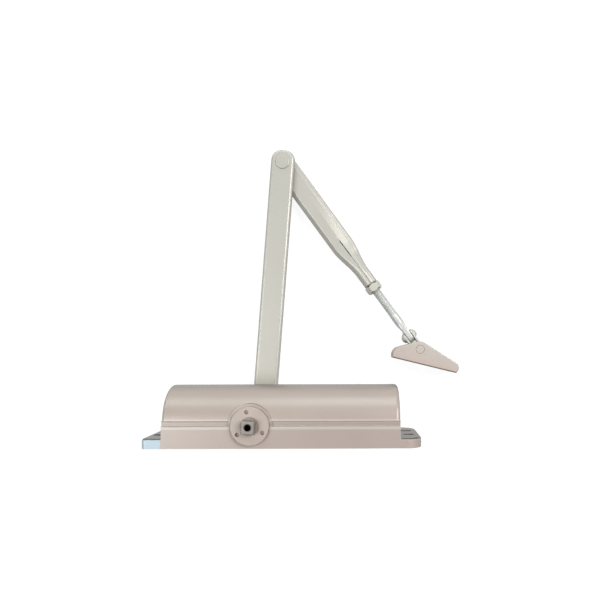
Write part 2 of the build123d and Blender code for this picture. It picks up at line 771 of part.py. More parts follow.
def shoe_outline():
    """Side plate of the shoe: a crown and two rounded ends, cut off level by the base."""
    left = Pos(-shoe_left_reach + shoe_left_radius, -shoe_left_drop) * Circle(shoe_left_radius)
    right = Pos(shoe_right_reach - shoe_right_radius, -shoe_right_drop) * Circle(shoe_right_radius)
    outline = make_hull([*left.edges(), *right.edges(), *Circle(shoe_crown_radius).edges()])
    above = 2 * shoe_right_reach
    return outline & Pos(0, above / 2 - shoe_base_drop) * Rectangle(2 * above, above)


def shoe_bracket():
    """Folded channel: two triangular side plates and a base with two screw holes."""
    shoe = Pos(0, 0, -shoe_half_width) * extrude(shoe_outline(), 2 * shoe_half_width)
    for end in (-1, 0):
        shoe = chamfer(shoe.faces().sort_by(Axis.Z)[end].edges(), shoe_edge_bevel)
    floor = -shoe_base_drop + shoe_plate
    shoe -= block(-2 * shoe_left_reach, 2 * shoe_right_reach, floor, 2 * shoe_crown_radius,
                  -shoe_gap / 2, shoe_gap / 2)
    for side in (-1, 1):
        x = shoe_hole_offset + side * shoe_hole_pitch / 2
        shoe -= rod_y(shoe_hole_radius, -shoe_base_drop - 1, floor + 1, x, 0)
        sink = Cone(shoe_hole_radius, shoe_countersink_radius, shoe_countersink_depth)
        shoe -= Pos(x, floor - shoe_countersink_depth / 2, 0) * Rot(-90, 0, 0) * sink
    shoe -= rod_z(pin_radius + close_clearance, -2 * shoe_half_width, 2 * shoe_half_width)
    return shoe_place * shoe


def shoe_pin():
    pin = rod_z(pin_radius, -shoe_half_width, shoe_half_width)
    pin = chamfer(pin.edges().filter_by(GeomType.CIRCLE), pin_bevel)
    return shoe_place * pin


pieces = {
    "housing": housing(),
    "left_end_plug": end_plug(-1),
    "right_end_plug": end_plug(1),
    "left_plug_seal": plug_seal(-1),
    "right_plug_seal": plug_seal(1),
    "sweep_valve_screw": valve_screw(1),
    "latch_valve_screw": valve_screw(-1),
    "sweep_valve_seal": valve_seal(1),
    "latch_valve_seal": valve_seal(-1),
    "pinion_spindle": spindle(),
    "upper_bearing_cup": bearing_cup(1),
    "lower_bearing_cup": bearing_cup(-1),
    "upper_bearing_rollers": bearing_rollers(1),
    "lower_bearing_rollers": bearing_rollers(-1),
    "upper_gland_cap": gland_cap(1),
    "lower_gland_cap": gland_cap(-1),
    "upper_shaft_seal": shaft_seal(1),
    "lower_shaft_seal": shaft_seal(-1),
    "rack_piston": piston(),
    "piston_ring": piston_ring(),
    "check_valve_ball": check_ball(),
    "check_valve_clip": check_clip(),
    "closing_spring": closing_spring(),
    "main_arm": main_arm(),
    "arm_washer": arm_washer(),
    "arm_screw": arm_screw(),
    "elbow_rivet": elbow_rivet(),
    "elbow_washer": elbow_washer(),
    "forearm_sleeve": forearm_sleeve(),
    "lock_nut": lock_nut(),
    "forearm_rod": forearm_rod(),
    "shoe_link": shoe_link(),
    "cross_rivet": cross_rivet(),
    "shoe_bracket": shoe_bracket(),
    "shoe_pin": shoe_pin(),
}

os.makedirs("parts", exist_ok=True)
for name, shape in pieces.items():
    export_step(shape, f"parts/{name}.step")
    print(name, round(shape.volume, 1))
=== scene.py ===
import json
import math
import bpy
import numpy as np
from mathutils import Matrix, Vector


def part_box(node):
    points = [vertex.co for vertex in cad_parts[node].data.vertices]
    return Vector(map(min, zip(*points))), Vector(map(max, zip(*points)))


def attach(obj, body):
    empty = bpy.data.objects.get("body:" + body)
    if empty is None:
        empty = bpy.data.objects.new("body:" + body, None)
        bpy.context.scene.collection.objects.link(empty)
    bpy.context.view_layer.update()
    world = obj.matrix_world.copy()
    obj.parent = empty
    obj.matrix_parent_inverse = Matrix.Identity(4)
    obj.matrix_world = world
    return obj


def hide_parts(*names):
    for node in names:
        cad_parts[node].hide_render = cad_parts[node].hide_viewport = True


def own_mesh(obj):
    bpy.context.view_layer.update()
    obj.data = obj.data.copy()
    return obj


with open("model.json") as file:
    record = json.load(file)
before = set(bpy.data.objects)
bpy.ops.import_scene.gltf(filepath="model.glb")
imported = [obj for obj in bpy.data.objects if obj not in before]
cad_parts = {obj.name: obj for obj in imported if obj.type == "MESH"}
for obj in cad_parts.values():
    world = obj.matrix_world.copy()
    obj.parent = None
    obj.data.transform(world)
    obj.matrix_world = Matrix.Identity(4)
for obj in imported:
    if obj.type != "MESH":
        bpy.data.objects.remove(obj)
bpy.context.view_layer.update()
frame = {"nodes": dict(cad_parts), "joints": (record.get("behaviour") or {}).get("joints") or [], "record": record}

nodes = frame["nodes"]
joints = {joint["name"]: joint for joint in frame["joints"]}
mm = 0.001
print("frame loaded:", len(nodes), "nodes")


# Small helpers for building materials

maskSamples = 6  # rays for each soft normal or corner mask


class NodeBench:
    # keeps one material's node tree short to write: every call adds a node and returns it
    def __init__(self, name):
        self.material = bpy.data.materials.new(name)
        self.material.use_nodes = True
        self.tree = self.material.node_tree
        self.shader = self.tree.nodes["Principled BSDF"]
        self.place = None

    def add(self, kind, inputs=None, **settings):
        node = self.tree.nodes.new(kind)
        for key, value in settings.items():
            setattr(node, key, value)
        for key, value in (inputs or {}).items():
            self.feed(node, key, value)
        return node

    def feed(self, node, key, value):
        if isinstance(value, bpy.types.NodeSocket):
            self.tree.links.new(value, node.inputs[key])
        else:
            node.inputs[key].default_value = value

    def objectPoint(self, scale=(1, 1, 1), centre=(0, 0, 0)):
        if self.place is None:
            self.place = self.add("ShaderNodeTexCoord")
        mapping = self.add("ShaderNodeMapping", {"Vector": self.place.outputs["Object"]})
        mapping.inputs["Scale"].default_value = scale
        mapping.inputs["Location"].default_value = centre
        return mapping.outputs["Vector"]

    def noise(self, scale, detail, roughness, vector=None):
        node = self.add("ShaderNodeTexNoise", {"Scale": scale, "Detail": detail, "Roughness": roughness})
        self.feed(node, "Vector", self.objectPoint() if vector is None else vector)
        return node.outputs["Fac"]

    def ramp(self, factor, stops):
        node = self.add("ShaderNodeValToRGB", {"Fac": factor})
        while len(node.color_ramp.elements) < len(stops):
            node.color_ramp.elements.new(0.5)
        for element, (position, colour) in zip(node.color_ramp.elements, stops):
            element.position = position
            element.color = (*colour, 1)
        return node.outputs["Color"]

    def mottle(self, factor, colour, shares):
        # drifts between a darker and a paler share of the colour
        darker, paler = shares
        return self.ramp(factor, [(0.3, shade(colour, darker)), (0.7, shade(colour, paler))])

    def spread(self, factor, low, high):
        # carries 0 to 1 over to low to high
        node = self.add("ShaderNodeMapRange", {"Value": factor, "To Min": low, "To Max": high})
        return node.outputs["Result"]

    def around(self, factor, middle, reach):
        return self.spread(factor, middle - reach, middle + reach)

    def blendColour(self, factor, first, second, mode="MIX"):
        node = self.add("ShaderNodeMix", data_type="RGBA", blend_type=mode)
        self.feed(node, 0, factor)
        self.feed(node, 6, first)
        self.feed(node, 7, second)
        return node.outputs[2]

    def tint(self, factor, tone, colour):
        # lays a plain colour over the tone
        return self.blendColour(factor, tone, (*colour, 1))

    def bump(self, height, distance, normal=None):
        node = self.add("ShaderNodeBump", {"Height": height, "Distance": distance, "Strength": 1.0})
        if normal is not None:
            self.feed(node, "Normal", normal)
        return node.outputs["Normal"]

    def edgeMask(self, radius, low, high):
        # compares the true normal with one softened over the radius: 0 on open faces, 1 on sharp edges
        soft = self.add("ShaderNodeBevel", {"Radius": radius}, samples=maskSamples)
        surface = self.add("ShaderNodeNewGeometry")
        lean = self.add("ShaderNodeVectorMath", {0: soft.outputs["Normal"], 1: surface.outputs["Normal"]},
                        operation="DOT_PRODUCT")
        return self.between(lean.outputs["Value"], 1 - low, 1 - high)

    def between(self, value, start, end):
        # 0 at the start, 1 at the end
        node = self.add("ShaderNodeMapRange", {"Value": value, "From Min": start, "From Max": end})
        return node.outputs["Result"]

    def creviceShade(self, distance, low, high):
        # 1 deep in a corner or gap, 0 on open faces: the mask for painted shade
        node = self.add("ShaderNodeAmbientOcclusion", {"Distance": distance}, samples=maskSamples)
        return self.between(node.outputs["AO"], high, low)

    def times(self, first, second):
        node = self.add("ShaderNodeMath", {0: first, 1: second}, operation="MULTIPLY")
        return node.outputs[0]

    def finish(self, **sockets):
        for key, value in sockets.items():
            self.feed(self.shader, key, value)
        return self.material


def shade(colour, factor):
    return tuple(min(1.0, channel * factor) for channel in colour)


# what all the paints share: shares of the paint's own colour, and the limits between which a mask sets in
paintMix = {
    "drift": (0.97, 1.03), "sparkDark": 0.84, "rubLimits": (0.62, 0.78), "rubPaler": 1.25, "leastWearAndHighlight": 0.6,
    "edgeLimits": (0.03, 0.22), "shadeLimits": (0.35, 0.85), "grazingShadeLimits": (0.4, 0.95), "grazingShadeDarker": 0.2,
    "roughSpread": 0.03,
}
shadeBorder = 0.0004  # metres over which one painted area gives way to the next


def paintedMetal(name, look):
    # silver paint: metallic flake, slow drift of tone, orange peel, faint rubbed lines, edges paler from wear
    # and a painted highlight, painted shade in the corners, and painted shade at a low angle
    bench = NodeBench(name)
    flake = bench.noise(look["flakeScale"], detail=2.0, roughness=0.6)
    drift = bench.noise(look["driftScale"], detail=3.0, roughness=0.5)
    base = bench.mottle(drift, look["colour"], paintMix["drift"])
    spark = bench.ramp(flake, [(0.35, shade((1, 1, 1), paintMix["sparkDark"])), (0.65, (1, 1, 1))])
    tone = bench.blendColour(look["flakeStrength"], base, spark, "MULTIPLY")
    if "feet" in look:
        tone = footShades(bench, look["feet"], tone)
    if "groove" in look:
        tone = grooveShades(bench, look["groove"], tone)
    if "base" in look:
        tone = baseShades(bench, look["base"], tone)
    rubPoint = bench.objectPoint(look["rubStretch"])
    rubbed = bench.noise(look["rubScale"], detail=3.0, roughness=0.65, vector=rubPoint)
    rub = bench.times(bench.between(rubbed, *paintMix["rubLimits"]), look["rubStrength"])
    tone = bench.tint(rub, tone, shade(look["colour"], paintMix["rubPaler"]))
    # pale edges: partly worn paint, partly a painted highlight where the edges catch the light
    patch = bench.noise(look["wearAndHighlightScale"], detail=3.0, roughness=0.6)
    patchShare = bench.spread(patch, paintMix["leastWearAndHighlight"], 1.0)
    paleEdge = bench.times(bench.edgeMask(look["edgeRadius"], *paintMix["edgeLimits"]), patchShare)
    tone = bench.tint(bench.times(paleEdge, look["edgeStrength"]), tone, look["edgeColour"])
    # painted shade: darker in corners and gaps, where the occlusion mask finds them
    cornerShade = bench.times(bench.creviceShade(look["shadeReach"], *paintMix["shadeLimits"]), look["shadeStrength"])
    tone = bench.tint(cornerShade, tone, look["shadeColour"])
    # painted shade: the colour darkens where the surface turns away from the camera
    facing = bench.add("ShaderNodeLayerWeight", {"Blend": 0.5}).outputs["Facing"]
    grazingShade = bench.times(bench.between(facing, *paintMix["grazingShadeLimits"]), look["grazingShadeShare"])
    tone = bench.tint(grazingShade, tone, shade(look["colour"], paintMix["grazingShadeDarker"]))
    peel = bench.noise(look["peelScale"], detail=2.0, roughness=0.5)
    rough = bench.around(flake, look["roughness"], paintMix["roughSpread"])
    softNormal = bench.add("ShaderNodeBevel", {"Radius": look["softRadius"]}, samples=maskSamples)
    return bench.finish(**{
        "Base Color": tone,
        "Metallic": look["metallic"],
        "Specular IOR Level": look["specular"],
        "Roughness": rough,
        "Normal": bench.bump(peel, look["peelDepth"], softNormal.outputs["Normal"]),
    })


def footShades(bench, feet, tone):
    # painted light on the feet: a pale bluish painted reflection on the left foot's front, painted shade on
    # the feet's tops, and a painted highlight on the slots' walls
    place = bench.add("ShaderNodeSeparateXYZ", {"Vector": bench.objectPoint()})
    side = bench.add("ShaderNodeMath", {0: place.outputs["X"]}, operation="ABSOLUTE")
    deep = bench.add("ShaderNodeMath", {0: place.outputs["Z"]}, operation="ABSOLUTE")
    onFoot = bench.between(side.outputs[0], feet["start"], feet["start"] + shadeBorder)
    onLeft = bench.between(place.outputs["X"], -feet["start"], -feet["start"] - shadeBorder)
    front = bench.between(place.outputs["Z"], feet["frontLow"], feet["frontHigh"])
    # painted reflection: a pale bluish tone on the left foot's front
    paintedReflection = bench.times(bench.times(onLeft, front), feet["paintedReflectionShare"])
    tone = bench.tint(paintedReflection, tone, feet["paintedReflectionColour"])
    # painted shade on the feet's tops
    high = bench.between(place.outputs["Y"], feet["topLow"], feet["topHigh"])
    tone = bench.tint(bench.times(onFoot, high), tone, feet["topShadeColour"])
    # painted highlight on the slots' walls below the feet's tops
    low = bench.times(bench.between(place.outputs["Y"], feet["topLow"], feet["topLow"] - shadeBorder),
                      bench.between(place.outputs["Y"], feet["backEnd"], feet["backEnd"] + shadeBorder))
    inner = bench.between(side.outputs[0], feet["slotEnd"] + shadeBorder, feet["slotEnd"])
    middle = bench.between(deep.outputs[0], feet["slotReach"] + shadeBorder, feet["slotReach"])
    slot = bench.times(bench.times(onFoot, low), bench.times(inner, middle))
    return bench.tint(slot, tone, feet["slotHighlightColour"])


def grooveShades(bench, groove, tone):
    # painted shade on the side groove's floor, and a painted highlight along each of its two edges
    place = bench.add("ShaderNodeSeparateXYZ", {"Vector": bench.objectPoint()})
    height = place.outputs["Y"]
    deep = bench.add("ShaderNodeMath", {0: place.outputs["Z"]}, operation="ABSOLUTE")
    onSide = bench.between(deep.outputs[0], groove["sideStart"], groove["sideStart"] + shadeBorder)
    border = groove["border"]
    # each band lays its own colour: painted highlight, painted shade, painted highlight
    for low, high, colour in groove["bands"]:
        band = bench.times(bench.between(height, low - border, low + border),
                           bench.between(height, high + border, high - border))
        tone = bench.tint(bench.times(bench.times(band, onSide), groove["share"]), tone, colour)
    return tone


def baseShades(bench, base, tone):
    # painted light on the shoe: its paint is paler and greyer away from its fixing face, and a line of painted
    # shade marks that face's edge
    height = bench.add("ShaderNodeVectorMath", {0: bench.objectPoint(), 1: base["away"]},
                       operation="DOT_PRODUCT").outputs["Value"]
    level = base["level"]
    upperLight = bench.between(height, level + base["upperFrom"], level + base["upperFull"])
    tone = bench.tint(bench.times(upperLight, base["upperLightShare"]), tone, base["upperLightColour"])
    baseShadeLine = bench.between(height, level + base["lineWidth"], level + base["lineCore"])
    return bench.tint(bench.times(baseShadeLine, base["lineShadeShare"]), tone, base["lineShadeColour"])


# what all the bare metals share, in the same way
metalMix = {
    "stain": (0.92, 1.05), "edgeLimits": (0.04, 0.25), "edgePaler": 1.3, "shadeLimits": (0.35, 0.85),
    "shadeDarker": 0.15, "roughSpread": 0.08,
}


def bareMetal(name, look):
    # turned or plated metal: fine scratches along one axis, slight staining, edges polished paler,
    # and painted shade in the corners
    bench = NodeBench(name)
    grainPoint = bench.objectPoint(look["grainStretch"])
    streaks = bench.noise(look["grainScale"], detail=3.0, roughness=0.6, vector=grainPoint)
    stain = bench.noise(look["stainScale"], detail=3.0, roughness=0.55)
    tone = bench.mottle(stain, look["colour"], metalMix["stain"])
    paleEdge = bench.times(bench.edgeMask(look["edgeRadius"], *metalMix["edgeLimits"]), look["edgeStrength"])
    tone = bench.tint(paleEdge, tone, shade(look["colour"], metalMix["edgePaler"]))
    # painted shade: darker in corners and gaps, where the occlusion mask finds them
    cornerShade = bench.times(bench.creviceShade(look["shadeReach"], *metalMix["shadeLimits"]), look["shadeStrength"])
    tone = bench.tint(cornerShade, tone, shade(look["colour"], metalMix["shadeDarker"]))
    # painted shade: the spindle's threaded hole is painted near black
    if "shadedHole" in look:
        tone = bench.tint(holeShadeMask(bench, look["shadedHole"]), tone, look["shadedHole"]["colour"])
    # painted shade on the corners of the nut's chamfers
    if "shadedChamferCorners" in look:
        tone = bench.tint(chamferShadeMask(bench, look["shadedChamferCorners"]), tone, look["shadedChamferCorners"]["colour"])
    rough = bench.around(streaks, look["roughness"], metalMix["roughSpread"])
    return bench.finish(**{
        "Base Color": tone,
        "Metallic": look["metallic"],
        "Roughness": rough,
        "Normal": bench.bump(streaks, look["grainDepth"]),
    })


def holeShadeMask(bench, hole):
    # 1 within the hole's radius of its axis, which runs along Z, and 0 outside: painted shade in the threaded hole
    point = bench.objectPoint((1, 1, 0), (-hole["centre"][0], -hole["centre"][1], 0))
    reach = bench.add("ShaderNodeVectorMath", {0: point}, operation="LENGTH")
    return bench.between(reach.outputs["Value"], hole["outside"], hole["radius"])


def chamferShadeMask(bench, ends):
    # 1 on the corners of the nut's chamfers, which get painted shade: there the distance from the axis and
    # the distance from the nut's middle add up to the same number
    out = bench.add("ShaderNodeVectorMath", {0: bench.objectPoint(), 1: tuple(elbowAt)}, operation="SUBTRACT")
    along = bench.add("ShaderNodeVectorMath", {0: out.outputs["Vector"], 1: tuple(alongAxis)},
                      operation="DOT_PRODUCT")
    turned = bench.add("ShaderNodeVectorMath", {0: out.outputs["Vector"], 1: tuple(alongAxis)},
                       operation="CROSS_PRODUCT")
    radius = bench.add("ShaderNodeVectorMath", {0: turned.outputs["Vector"]}, operation="LENGTH")
    offset = bench.add("ShaderNodeMath", {0: along.outputs["Value"], 1: ends["middle"]}, operation="SUBTRACT")
    fromMiddle = bench.add("ShaderNodeMath", {0: offset.outputs[0]}, operation="ABSOLUTE")
    reach = bench.add("ShaderNodeMath", {0: fromMiddle.outputs[0], 1: radius.outputs["Value"]},
                      operation="ADD")
    onCone = bench.between(reach.outputs[0], ends["coneFrom"], ends["coneFull"])
    outside = bench.between(radius.outputs["Value"], ends["radiusFrom"], ends["radiusFull"])
    return bench.times(onCone, outside)


def rubberFinish(name, look):
    # matt black with fine dusty specks
    bench = NodeBench(name)
    speck = bench.noise(look["speckScale"], detail=3.0, roughness=0.6)
    tone = bench.ramp(speck, [(0.35, shade(look["colour"], look["speckDark"])),
                              (0.7, shade(look["colour"], look["speckPale"]))])
    return bench.finish(**{
        "Base Color": tone,
        "Roughness": bench.spread(speck, *look["roughness"]),
        "Normal": bench.bump(speck, look["speckDepth"]),
    })


def zincRod(name, look):
    # plated rod: its UV map runs along it, so the rolled thread is more stained than the plain end
    bench = NodeBench(name)
    along = bench.add("ShaderNodeUVMap", uv_map="rodMap")
    part = bench.add("ShaderNodeSeparateXYZ", {"Vector": along.outputs["UV"]})
    plain = bench.between(part.outputs["X"], look["changeAt"], look["changeAt"] + look["changeLength"])
    stain = bench.noise(look["stainScale"], detail=3.0, roughness=0.55)
    threadTone = bench.mottle(stain, look["colour"], look["threadStain"])
    plainTone = bench.mottle(stain, look["colour"], look["plainStain"])
    tone = bench.blendColour(plain, threadTone, plainTone)
    scratch = bench.noise(look["grainScale"], detail=3.0, roughness=0.6)
    rough = bench.around(scratch, look["roughness"], look["roughSpread"])
    return bench.finish(**{
        "Base Color": tone,
        "Metallic": look["metallic"],
        "Roughness": rough,
        "Normal": bench.bump(scratch, look["grainDepth"]),
    })


spindleAt = joints["arm_swing"]["pos_m"]

# the forearm's line runs from the elbow to the shoe's pin, and stations are measured along it

elbowAt = np.array(joints["elbow"]["pos_m"])
pinAt = np.array(joints["shoe_pivot"]["pos_m"])
crossAt = np.array(joints["link_tilt"]["pos_m"])
forearmLength = float(np.linalg.norm(pinAt - elbowAt))
rivetStation = float(np.linalg.norm(crossAt - elbowAt))
alongAxis = (pinAt - elbowAt) / forearmLength
acrossAxis = np.array([-alongAxis[1], alongAxis[0], 0.0])
upAxis = np.array([0.0, 0.0, 1.0])

castingLook = {
    "colour": (0.502, 0.404, 0.362), "metallic": 0.08, "specular": 0.9, "roughness": 0.34,
    "flakeScale": 2600.0, "flakeStrength": 0.35, "driftScale": 22.0, "peelScale": 900.0, "peelDepth": 0.00004,
    "rubScale": 60.0, "rubStretch": (0.25, 1, 1), "rubStrength": 0.10, "wearAndHighlightScale": 90.0,
    "edgeRadius": 0.0009, "edgeStrength": 0.8, "edgeColour": (0.70, 0.67, 0.64), "softRadius": 0.0004,
    "shadeReach": 0.0022, "shadeStrength": 0.2, "shadeColour": (0.16, 0.12, 0.10), "grazingShadeShare": 0.9,
    # groove bands from the top down: painted highlight on the upper edge, painted shade on the floor, painted
    # highlight on the lower edge
    "groove": {"sideStart": 0.0272, "share": 0.8, "border": 0.0006,
               "bands": [(0.0209, 0.0232, (0.66, 0.56, 0.51)), (0.0178, 0.0203, (0.40, 0.33, 0.295)),
                         (0.0152, 0.0175, (0.66, 0.58, 0.53))]},
    # the feet's painted reflection, painted shade on their tops and painted highlight in their slots
    "feet": {"start": 0.0953, "topLow": 0.0068, "topHigh": 0.0074, "topShadeColour": (0.035, 0.022, 0.015),
             "frontLow": 0.028, "frontHigh": 0.0295, "paintedReflectionShare": 0.9, "paintedReflectionColour": (0.46, 0.59, 0.70),
             "slotEnd": 0.1085, "slotReach": 0.016, "slotHighlightColour": (0.72, 0.69, 0.66), "backEnd": 0.0003},
}
armLook = {
    "colour": (0.592, 0.562, 0.505), "metallic": 0.12, "specular": 0.9, "roughness": 0.34,
    "flakeScale": 2600.0, "flakeStrength": 0.3, "driftScale": 18.0, "peelScale": 1100.0,
    "peelDepth": 0.000005, "rubScale": 70.0, "rubStretch": (1, 0.25, 1), "rubStrength": 0.04,
    "wearAndHighlightScale": 30.0, "edgeRadius": 0.0008, "edgeStrength": 0.25, "edgeColour": (0.84, 0.84, 0.82),
    "softRadius": 0.0004, "shadeReach": 0.0018, "shadeStrength": 0.4, "shadeColour": (0.15, 0.14, 0.12),
    "grazingShadeShare": 0.9,
}
shoeMount = next(mount for mount in frame["record"]["mounts"] if mount["name"] == "shoe_face")
shoeAway = tuple(-part for part in shoeMount["axis"])
shoeLook = {
    # the shoe's painted light: paler away from the fixing face, and a line of painted shade at its edge
    "base": {"away": shoeAway, "level": float(np.dot(shoeAway, shoeMount["pos_m"])), "upperLightShare": 0.6,
             "upperFrom": 0.003, "upperFull": 0.020, "upperLightColour": (0.62, 0.595, 0.555),
             "lineWidth": 0.0016, "lineCore": 0.0008, "lineShadeShare": 0.8, "lineShadeColour": (0.16, 0.10, 0.08)},
    "colour": (0.60, 0.50, 0.455), "metallic": 0.18, "specular": 0.4, "roughness": 0.38,
    "flakeScale": 2600.0, "flakeStrength": 0.3, "driftScale": 30.0, "peelScale": 1100.0, "peelDepth": 0.00003,
    "rubScale": 90.0, "rubStretch": (0.3, 1, 1), "rubStrength": 0.12, "wearAndHighlightScale": 120.0,
    "edgeRadius": 0.0008, "edgeStrength": 0.5, "edgeColour": (0.78, 0.74, 0.71), "softRadius": 0.0005,
    "shadeReach": 0.0018, "shadeStrength": 0.05, "shadeColour": (0.2, 0.13, 0.10),
    "grazingShadeShare": 0.6,
}
plugLook = {
    "colour": (0.515, 0.425, 0.38), "metallic": 0.2, "roughness": 0.40, "grainScale": 700.0,
    "grainStretch": (1, 1, 1), "stainScale": 60.0, "grainDepth": 0.00001,
    "edgeRadius": 0.0005, "edgeStrength": 0.5, "shadeReach": 0.0018, "shadeStrength": 0.4,
}
spindleLook = {
    "colour": (0.33, 0.285, 0.26), "metallic": 0.25, "roughness": 0.45, "grainScale": 900.0,
    "grainStretch": (1, 1, 0.15), "stainScale": 120.0, "grainDepth": 0.00001,
    "edgeRadius": 0.0005, "edgeStrength": 0.8, "shadeReach": 0.0015, "shadeStrength": 0.6,
    "shadedHole": {"centre": spindleAt[:2], "radius": 0.0026, "outside": 0.002756,
                 "colour": (0.012, 0.006, 0.005)},
}
zincLook = {
    "colour": (0.60, 0.585, 0.53), "metallic": 0.35, "roughness": 0.36, "grainScale": 700.0,
    "grainStretch": (1, 1, 1), "stainScale": 90.0, "grainDepth": 0.00001,
    "edgeRadius": 0.0005, "edgeStrength": 0.4, "shadeReach": 0.002, "shadeStrength": 0.85,
}
bearingLook = {
    "colour": (0.72, 0.72, 0.74), "metallic": 1.0, "roughness": 0.18, "grainScale": 900.0,
    "grainStretch": (1, 1, 0.1), "stainScale": 150.0, "grainDepth": 0.000005,
    "edgeRadius": 0.0003, "edgeStrength": 0.3, "shadeReach": 0.001, "shadeStrength": 0.4,
}
pistonLook = {
    "colour": (0.34, 0.34, 0.35), "metallic": 0.9, "roughness": 0.4, "grainScale": 500.0,
    "grainStretch": (6, 1, 1), "stainScale": 50.0, "grainDepth": 0.00001,
    "edgeRadius": 0.0004, "edgeStrength": 0.3, "shadeReach": 0.002, "shadeStrength": 0.6,
}
springLook = {
    "colour": (0.25, 0.26, 0.28), "metallic": 0.9, "roughness": 0.38, "grainScale": 600.0,
    "grainStretch": (1, 1, 1), "stainScale": 80.0, "grainDepth": 0.00001,
    "edgeRadius": 0.0004, "edgeStrength": 0.2, "shadeReach": 0.001, "shadeStrength": 0.4,
}
nutLook = {
    "colour": (0.60, 0.575, 0.51), "metallic": 0.3, "roughness": 0.38, "grainScale": 700.0,
    "grainStretch": (1, 1, 1), "stainScale": 90.0, "grainDepth": 0.00001,
    "edgeRadius": 0.0005, "edgeStrength": 0.2, "shadeReach": 0.002, "shadeStrength": 0.85,
    "shadedChamferCorners": {"middle": 0.1413, "coneFrom": 0.00995, "coneFull": 0.01005, "radiusFrom": 0.0063,
                  "radiusFull": 0.0066, "colour": (0.03, 0.028, 0.025)},
}
rubberLook = {
    "colour": (0.03, 0.03, 0.03), "roughness": (0.5, 0.7), "speckScale": 900.0, "speckDepth": 0.00002,
    "speckDark": 0.8, "speckPale": 1.4,
}

finishes = {
    "casting_paint": paintedMetal("castingPaint", castingLook),
    "arm_paint": paintedMetal("armPaint", armLook),
    "shoe_paint": paintedMetal("shoePaint", shoeLook),
    "plug_steel": bareMetal("plugMetal", plugLook),
    "spindle_steel": bareMetal("spindleSteel", spindleLook),
    "zinc_steel": bareMetal("zincPlate", zincLook),
    "bearing_steel": bareMetal("bearingSteel", bearingLook),
    "piston_iron": bareMetal("pistonIron", pistonLook),
    "spring_steel": bareMetal("springSteel", springLook),
    "seal_rubber": rubberFinish("sealRubber", rubberLook),
}
nutFinish = bareMetal("nutMetal", nutLook)
for part in frame["record"]["subparts"]:
    piece = nodes[part["node"]]
    piece.data.materials.clear()
    piece.data.materials.append(nutFinish if part["node"] == "lock_nut" else finishes[part["material_slot"]])
print("finishes made:", len(finishes))


def forearmPoint(station, across, up):
    # elbow + station * along + across * sideways + up * Z, for whole arrays at once
    onLine = elbowAt + station[..., None] * alongAxis
    return onLine + across[..., None] * acrossAxis + up[..., None] * upAxis


def skinTube(name, points, stations, mapName):
    # joins neighbouring rings with quads, closed around, and fans both ends to the ring's middle
    rings, sides = points.shape[:2]
    ring = np.arange(sides)
    after = (ring + 1) % sides
    row = np.arange(rings - 1)[:, None] * sides
    quads = np.stack([row + ring, row + after, row + sides + after, row + sides + ring], axis=-1)
    firstPole, lastPole = rings * sides, rings * sides + 1
    lastRow = (rings - 1) * sides
    startFan = np.stack([np.full(sides, firstPole), after, ring], axis=-1)
    endFan = np.stack([np.full(sides, lastPole), lastRow + ring, lastRow + after], axis=-1)
    poles = np.stack([points[0].mean(axis=0), points[-1].mean(axis=0)])
    corners = np.concatenate([points.reshape(-1, 3), poles])
    faces = quads.reshape(-1, 4).tolist() + startFan.tolist() + endFan.tolist()
    mesh = bpy.data.meshes.new(name)
    mesh.from_pydata(corners.tolist(), [], faces)
    mesh.shade_smooth()
    # the map gives every face corner its station in metres and its share of the way around
    low, high = stations[:-1, None] + 0 * ring, stations[1:, None] + 0 * ring
    left, right = ring / sides + 0 * low, (ring + 1) / sides + 0 * low
    quadMap = np.stack([low, left, low, right, high, right, high, left], axis=-1).reshape(-1)
    before, between, beyond = ring / sides, (ring + 0.5) / sides, (ring + 1) / sides
    atStart, atEnd = 0 * ring + stations[0], 0 * ring + stations[-1]
    startMap = np.stack([atStart, between, atStart, beyond, atStart, before], axis=-1).reshape(-1)
    endMap = np.stack([atEnd, between, atEnd, before, atEnd, beyond], axis=-1).reshape(-1)
    layer = mesh.uv_layers.new(name=mapName)
    layer.data.foreach_set("uv", np.concatenate([quadMap, startMap, endMap]))
    piece = bpy.data.objects.new(name, mesh)
    bpy.context.scene.collection.objects.link(piece)
    return piece


def smoothStep(value):
    clipped = np.clip(value, 0.0, 1.0)
    return clipped * clipped * (3 - 2 * clipped)


rodShape = {
    "start": forearmLength - 93.6 * mm, "threadEnd": 171.5 * mm, "pitch": 1.25 * mm, "threadDepth": 0.4 * mm,
    "radius": 4.0 * mm, "ringStep": 0.125 * mm, "sides": 48, "neckStart": rivetStation - 15.3 * mm,
    "bladeStart": rivetStation - 8.3 * mm, "tip": rivetStation + 5.7 * mm,
    "bladeThickness": 5.8 * mm, "bladeWidth": 9.2 * mm, "bladeSquareness": 4, "runout": 2.2 * mm,
    "waveSteepness": 2.6, "crestWidth": 0.15, "plainStep": 0.5 * mm, "tipLength": 1.0 * mm,
    "tipShares": (0.8, 0.5, 0.25, 0.1, 0.02), "tipThickness": 0.05 * mm,
}


